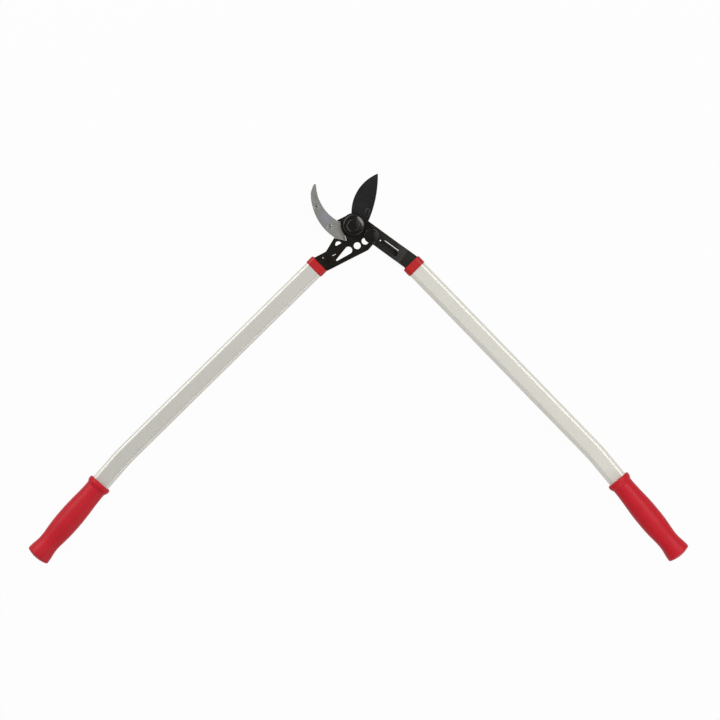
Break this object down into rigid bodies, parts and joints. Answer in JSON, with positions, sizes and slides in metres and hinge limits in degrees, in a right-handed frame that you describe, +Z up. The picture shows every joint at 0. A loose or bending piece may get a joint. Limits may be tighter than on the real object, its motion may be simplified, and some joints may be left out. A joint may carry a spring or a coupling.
{
  "type": "anvil lopper",
  "caption": "Long handled anvil lopper: a convex leaf blade closes on a curved anvil hook, with a truss frame, flat-oval tube handles, red collars and moulded red grips.",
  "frame": {"origin": "on the main pivot axis, at the flat rear head of the pivot bolt, which lies on the plane the lopper rests on", "axes": "+Z up from the rest plane along the pivot axis, +X towards the right handle's side, +Y the way the open jaws point"},
  "size_m": [0.923, 0.5457, 0.0363],
  "materials": {
    "black_coat": "satin black coated forging",
    "blade_coat": "matt black non-stick coating on steel",
    "hook_steel": "brushed along the curve",
    "fastener_steel": "zinc plated steel",
    "bronze": "plain bearing bronze",
    "black_plastic": "smooth moulded black",
    "tube_aluminium": "pale satin anodised",
    "red_plastic": "smooth red moulded plastic"
  },
  "bodies": {
    "anvil_side": {"anvil_arm": "black_coat", "anvil_hook": "hook_steel", "anvil_screws": "fastener_steel", "pivot_bolt": "fastener_steel", "thrust_washer": "bronze", "nut_washer": "bronze", "pivot_nut": "fastener_steel", "pivot_cap": "black_plastic", "right_tang_pin": "fastener_steel", "right_tube": "tube_aluminium", "right_collar": "red_plastic", "right_grip": "red_plastic"},
    "blade_side": {"truss_frame": "black_coat", "blade": "blade_coat", "pivot_bush": "bronze", "blade_bolt": "fastener_steel", "blade_bolt_washer": "fastener_steel", "blade_bolt_cap": "black_plastic", "left_tang_pin": "fastener_steel", "left_tube": "tube_aluminium", "left_collar": "red_plastic", "left_grip": "red_plastic"}
  },
  "joints": [
    {"name": "main_pivot", "type": "hinge", "parent": "anvil_side", "child": "blade_side", "pos_m": [0, 0, 0.0173], "axis": [0, 0, 1], "range_deg": [0, 65.5]}
  ]
}
